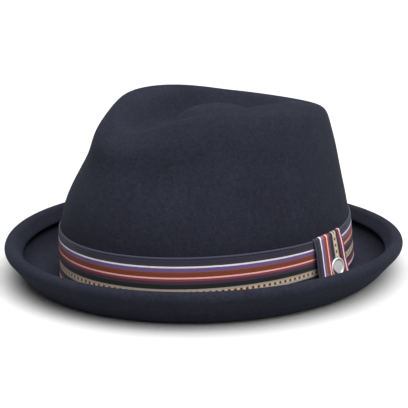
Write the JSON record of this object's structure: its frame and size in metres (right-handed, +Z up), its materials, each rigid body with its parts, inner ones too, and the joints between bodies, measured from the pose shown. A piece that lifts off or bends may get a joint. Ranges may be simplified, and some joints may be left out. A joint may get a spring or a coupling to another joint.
{
  "type": "felt hat",
  "caption": "Felt hat with a teardrop crown, a short curled brim, a striped ribbon band and an upright ribbon loop with a bare round badge.",
  "frame": {"origin": "on the surface that the hat rests on, under the middle of the brim", "axes": "+Z up through the crown, -Y towards the front of the hat, +X towards the wearer's left"},
  "size_m": [0.2402, 0.2574, 0.1105],
  "materials": {
    "felt": "dark navy wool felt with a short soft nap",
    "ribbon": "woven striped grosgrain ribbon",
    "badge": "soft silver-grey metal with a raised rim"
  },
  "bodies": {
    "root": {"felt_body": "felt", "ribbon_band": "ribbon", "ribbon_loop": "ribbon", "badge": "badge"}
  },
  "joints": []
}
